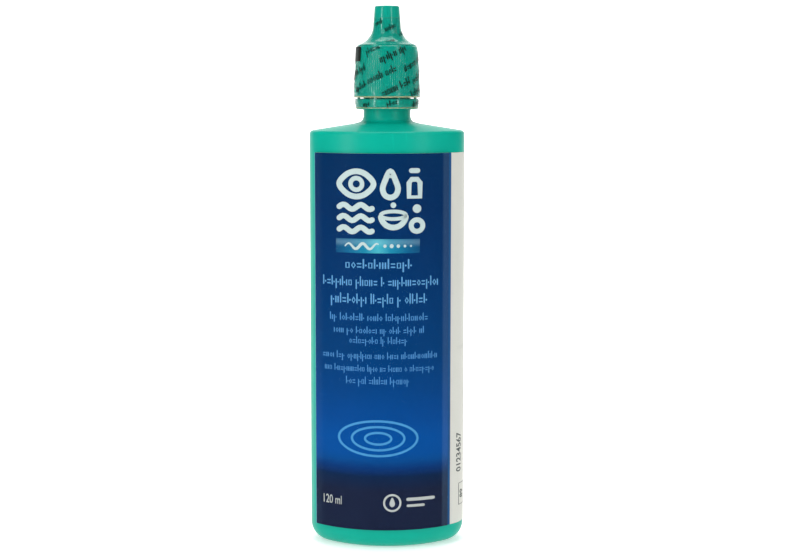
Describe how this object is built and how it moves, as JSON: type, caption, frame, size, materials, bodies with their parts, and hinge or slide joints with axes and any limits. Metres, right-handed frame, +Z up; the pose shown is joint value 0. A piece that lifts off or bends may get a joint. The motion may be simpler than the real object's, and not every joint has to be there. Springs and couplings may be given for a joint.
{
  "type": "contact lens solution bottle",
  "caption": "Oval teal squeeze bottle of contact lens solution with a dropper nozzle, a tapered screw cap with tamper band and shrink sleeve, and a blue leaflet label.",
  "frame": {"origin": "middle of the foot, on the surface that the bottle stands on", "axes": "+Z up along the neck and cap, -Y towards the front of the label, +X towards the white side panel"},
  "size_m": [0.0477, 0.0319, 0.1658],
  "materials": {
    "bottle_plastic": "satin teal moulded plastic",
    "saline": "clear liquid",
    "nozzle_plastic": "natural translucent plastic",
    "cap_plastic": "teal moulded plastic",
    "sleeve_film": "clear shrink film",
    "band_plastic": "teal moulded plastic",
    "label_white": "white printed film",
    "label_blue": "deep blue printed film",
    "leaflet_paper": "thin white printed paper",
    "laminate_film": "clear gloss laminate"
  },
  "bodies": {
    "bottle": {"bottle_body": "bottle_plastic", "saline_fill": "saline", "nozzle_plug": "nozzle_plastic", "base_label": "label_white", "leaflet_spine": "label_blue"},
    "tamper_ring": {"tamper_band": "band_plastic", "band_bridges": "band_plastic", "band_sleeve": "sleeve_film"},
    "cap": {"screw_cap": "cap_plastic", "cap_sleeve": "sleeve_film"},
    "leaflet_cover": {"front_cover": "label_blue", "cover_laminate": "laminate_film"},
    "front_page": {"leaflet_page_front": "leaflet_paper"},
    "rear_page": {"leaflet_page_rear": "leaflet_paper"}
  },
  "joints": [
    {"name": "cap_turn", "type": "hinge", "parent": "bottle", "child": "tamper_ring", "pos_m": [0, 0, 0.14], "axis": [0, 0, 1], "range_deg": [0, 3240]},
    {"name": "cap_lift", "type": "slide", "parent": "tamper_ring", "child": "cap", "axis": [0, 0, 1], "range_m": [0, 0.0286]},
    {"name": "cover_open", "type": "hinge", "parent": "bottle", "child": "leaflet_cover", "pos_m": [0.01901, -0.00915, 0.064], "axis": [0, 0, 1], "range_deg": [0, 100]},
    {"name": "front_page_turn", "type": "hinge", "parent": "bottle", "child": "front_page", "pos_m": [0.01901, -0.00915, 0.064], "axis": [0, 0, 1], "range_deg": [0, 70]},
    {"name": "rear_page_turn", "type": "hinge", "parent": "bottle", "child": "rear_page", "pos_m": [0.01901, -0.00915, 0.064], "axis": [0, 0, 1], "range_deg": [0, 40]}
  ],
  "couplings": [
    {"joint": "cap_lift", "follows": "cap_turn", "m_per_rad": 0.00050532},
    {"joint": "front_page_turn", "follows": "cover_open", "ratio": 0.7},
    {"joint": "rear_page_turn", "follows": "cover_open", "ratio": 0.4}
  ]
}
